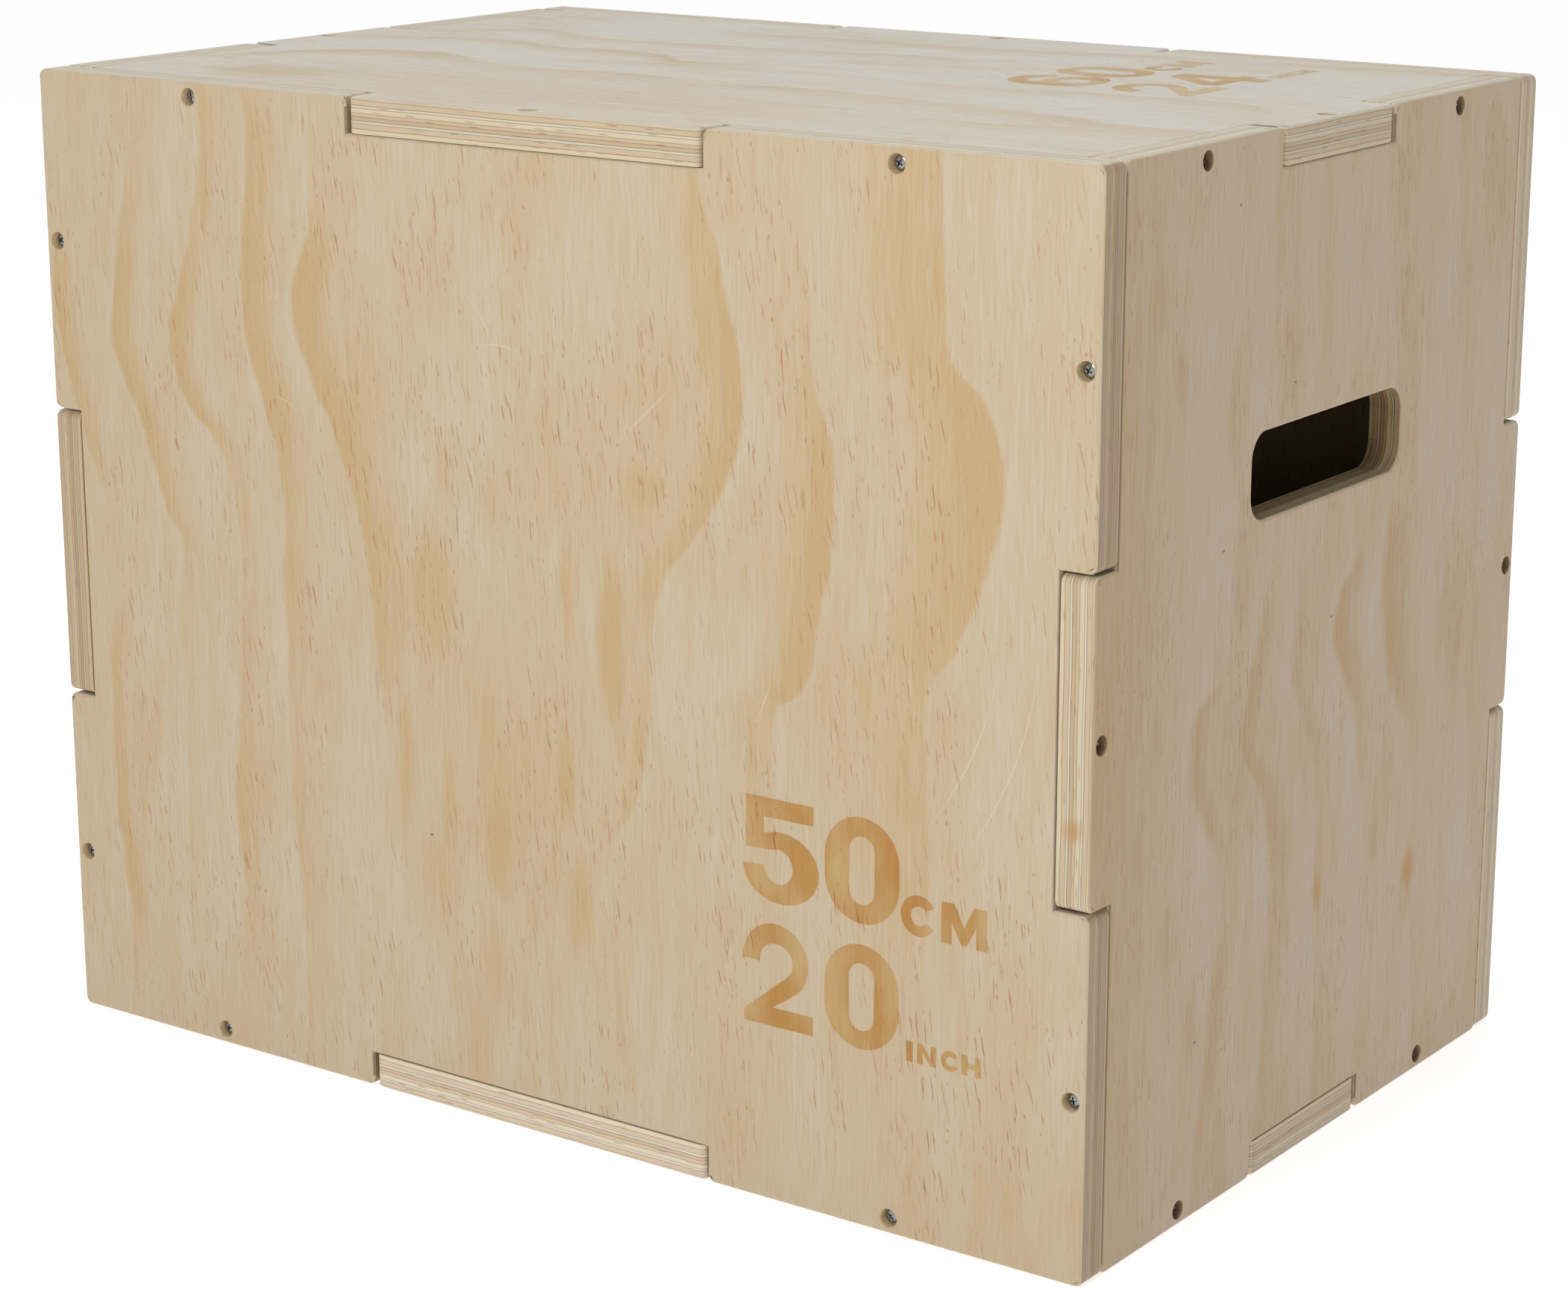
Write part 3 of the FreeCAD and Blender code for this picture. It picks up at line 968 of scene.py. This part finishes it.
def set_screws():
    """Puts a screw with thread and recess where each CAD screw is, turned as a driver leaves them."""
    metal, pattern = zinc(), screw_mesh()
    for name, panel in PANELS.items():
        node = name + "_screws"
        facing = (-panel.inward).to_track_quat("Z", "Y").to_matrix().to_4x4()
        shape = bmesh.new()
        for index, crown in enumerate(crowns(NODES[node], panel)):
            turn = Matrix.Rotation(SCREW_TURN * index + panel.seed, 4, "Z")
            one = pattern.copy()
            one.transform(Matrix.Translation(crown) @ facing @ turn @ Matrix.Scale(MM, 4))
            shape.from_mesh(one)
        mesh = bpy.data.meshes.new(node + "_shown")
        shape.to_mesh(mesh)
        shape.free()
        piece = add_object(node + "_shown", mesh)
        carry(piece, metal)
        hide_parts(node)


def arc(centre, radii, start, end, steps=16):
    """Points of an ellipse's arc between two angles in degrees."""
    angles = [math.radians(start + (end - start) * step / steps) for step in range(steps + 1)]
    return [(centre[0] + radii[0] * math.cos(a), centre[1] + radii[1] * math.sin(a)) for a in angles]


# Outlines of the marks' figures, with holes, 60 high
GLYPHS = {
    "0": [
        arc((24.5, 36), (24.5, 24.3), 0, 180) + arc((24.5, 24), (24.5, 24.3), 180, 360),
        arc((24.5, 41.2), (8.3, 8.3), 0, 180) + arc((24.5, 18.8), (8.3, 8.3), 180, 360),
    ],
    "2": [
        [(1, 0), (48, 0), (48, 11), (20.4, 11)] + arc((22.6, 38.7), (22.2, 21.7), -50, 184)
        + arc((23, 38.5), (11.3, 10.5), 188, -50) + [(1, 7)],
    ],
    "4": [
        [(30, 0), (45, 0), (45, 13), (53, 13), (53, 24), (45, 24), (45, 60), (27, 60), (0, 24), (0, 13),
         (30, 13)],
        [(30, 24), (30, 45), (14, 24)],
    ],
    "5": [
        [(2.5, 60), (48, 60), (48, 49), (14.6, 49)] + arc((26.1, 20.7), (25.8, 20.9), 116, -178)
        + arc((24.4, 21.3), (9.8, 10.2), -178, 115) + [(2.5, 30)],
    ],
    "6": [
        arc((26.9, 38), (26, 22.5), 18, 180) + arc((26.9, 19.4), (26, 19.6), 180, 475)
        + arc((27, 38), (13, 11.5), 178, 14),
        arc((27.6, 19.4), (9.7, 9.7), 0, 360)[:-1],
    ],
    "C": [arc((30, 30), (30, 30.5), 32, 328) + arc((31, 30), (14, 14.5), 322, 38)],
    "M": [
        [(0, 0), (0, 60), (21, 60), (37.5, 27), (54, 60), (75, 60), (75, 0), (58, 0), (58, 32), (42, 2),
         (33, 2), (17, 32), (17, 0)],
    ],
    "I": [[(0, 0), (0, 60), (22, 60), (22, 0)]],
    "N": [[(0, 0), (0, 60), (19, 60), (46, 24), (46, 60), (65, 60), (65, 0), (46, 0), (19, 36), (19, 0)]],
    "H": [
        [(0, 0), (0, 60), (20, 60), (20, 38), (45, 38), (45, 60), (65, 60), (65, 0), (45, 0), (45, 22),
         (20, 22), (20, 0)],
    ],
}
GLYPH_HEIGHT = 60
ADVANCES = {"C": 68, "M": 75, "I": 36, "N": 80, "H": 65}
DIGIT_ADVANCE = 55.6


def draw_text(curve, text, left, base, height):
    """Adds a word's outlines to a flat filled curve."""
    scale = height / GLYPH_HEIGHT
    for character in text:
        for loop in GLYPHS[character]:
            spline = curve.splines.new("POLY")
            spline.points.add(len(loop) - 1)
            spline.use_cyclic_u = True
            for point, (x, y) in zip(spline.points, loop):
                point.co = left + x * scale, base + y * scale, 0, 1
        left += ADVANCES.get(character, DIGIT_ADVANCE) * scale


def mark_panel(name, node, words, place, right, up):
    """Stained size mark on a panel: height in centimetres over height in inches, as thin as a burn."""
    panel = PANELS[node]
    start = panel.corner + (panel.across * place[0] + panel.along * place[1]) * MM
    curve = bpy.data.curves.new(name, "CURVE")
    curve.dimensions = "2D"
    curve.fill_mode = "BOTH"
    for word, (left, base, height) in zip(words, MARK_PLACES):
        draw_text(curve, word, left, base, height)
    mesh = evaluated_mesh(add_object(name, curve))
    turn = Matrix((right, up, -panel.inward)).transposed().to_4x4()
    lift = start - panel.inward * MARK_LIFT * MM
    mesh.transform(Matrix.Translation(lift) @ turn @ Matrix.Scale(MM, 4))
    mesh.name = name
    carry(add_object(name, mesh), plywood(node, stained=True))


def mark_heights():
    """The box's height with each of the two marked faces up."""
    mark_panel("front_marks", "front_panel", ("50", "CM", "20", "INCH"), FRONT_MARK, X, Z)
    mark_panel("top_marks", "top_panel", ("60", "CM", "24", "INCH"), TOP_MARK, Y, -X)


def make_camera():
    data = bpy.data.cameras.new("camera")
    data.lens = LENS
    data.sensor_width = SENSOR
    data.sensor_fit = "HORIZONTAL"
    camera = add_object("camera", data)
    around, above = math.radians(CAMERA_AZIMUTH), math.radians(CAMERA_ELEVATION)
    level = math.cos(above)
    back = Vector((math.sin(around) * level, -math.cos(around) * level, math.sin(above)))
    camera.location = CAMERA_AIM + back * CAMERA_DISTANCE
    camera.rotation_euler = back.to_track_quat("Z", "Y").to_euler()
    bpy.context.scene.camera = camera


def make_floor():
    """A pale floor, open under the box, so that the underside shows from below."""
    graph = Graph(bpy.data.materials.new("floor"))
    place = graph.node("TexCoord", {}).outputs["Object"]
    mottle = graph.noise(place, [FLOOR_GRAIN] * 3)
    material = graph.finish({
        "Base Color": graph.mix(mottle, FLOOR_DARK, FLOOR_LIGHT),
        "Roughness": 0.9,
        "Specular IOR Level": 0.1,
        "Emission Color": WHITE,
        "Emission Strength": FLOOR_GLOW,
    })
    far = Vector((FLOOR_SIDE / 2, FLOOR_SIDE / 2))
    near = HIGH.xy - Vector((FLOOR_INSET, FLOOR_INSET))
    turns = ((-1, -1), (1, -1), (1, 1), (-1, 1))
    corners = [(size.x * x, size.y * y, LOW.z) for size in (far, near) for x, y in turns]
    sides = [(side, (side + 1) % 4, 4 + (side + 1) % 4, 4 + side) for side in range(4)]
    floor = add_mesh("floor", corners, sides)
    floor.data.materials.append(material)


def make_light():
    """A sky that is white behind the box and low down all round, and the softboxes."""
    graph = Graph(bpy.data.worlds.new("studio"))
    direction = graph.node("TexCoord", {}).outputs["Generated"]
    behind = graph.vector("DOT_PRODUCT", direction, SWEEP)
    above = graph.range(behind, -1.0, 1.0, SKY_BEFORE, SKY_BEHIND, "LINEAR")
    height = graph.vector("DOT_PRODUCT", direction, Z)
    low = graph.range(height, HORIZON_HIGH, HORIZON_LOW, 0.0, SKY_LOW)
    strength = graph.most([above, low])
    sky = graph.node("Background", {"Color": WHITE, "Strength": strength})
    graph.node("OutputWorld", {0: sky.outputs[0]})
    bpy.context.scene.world = graph.owner
    bpy.context.scene.view_settings.view_transform = "Standard"
    for name, place, aim, side, power, tint in SOFTBOXES:
        data = bpy.data.lights.new(name, "AREA")
        data.shape = "SQUARE"
        data.size = side
        data.energy = power
        data.color = tint
        light = add_object(name, data)
        light.location = place
        light.rotation_euler = (place - aim).to_track_quat("Z", "Y").to_euler()


dress_panels()
set_screws()
mark_heights()
make_camera()
make_floor()
make_light()
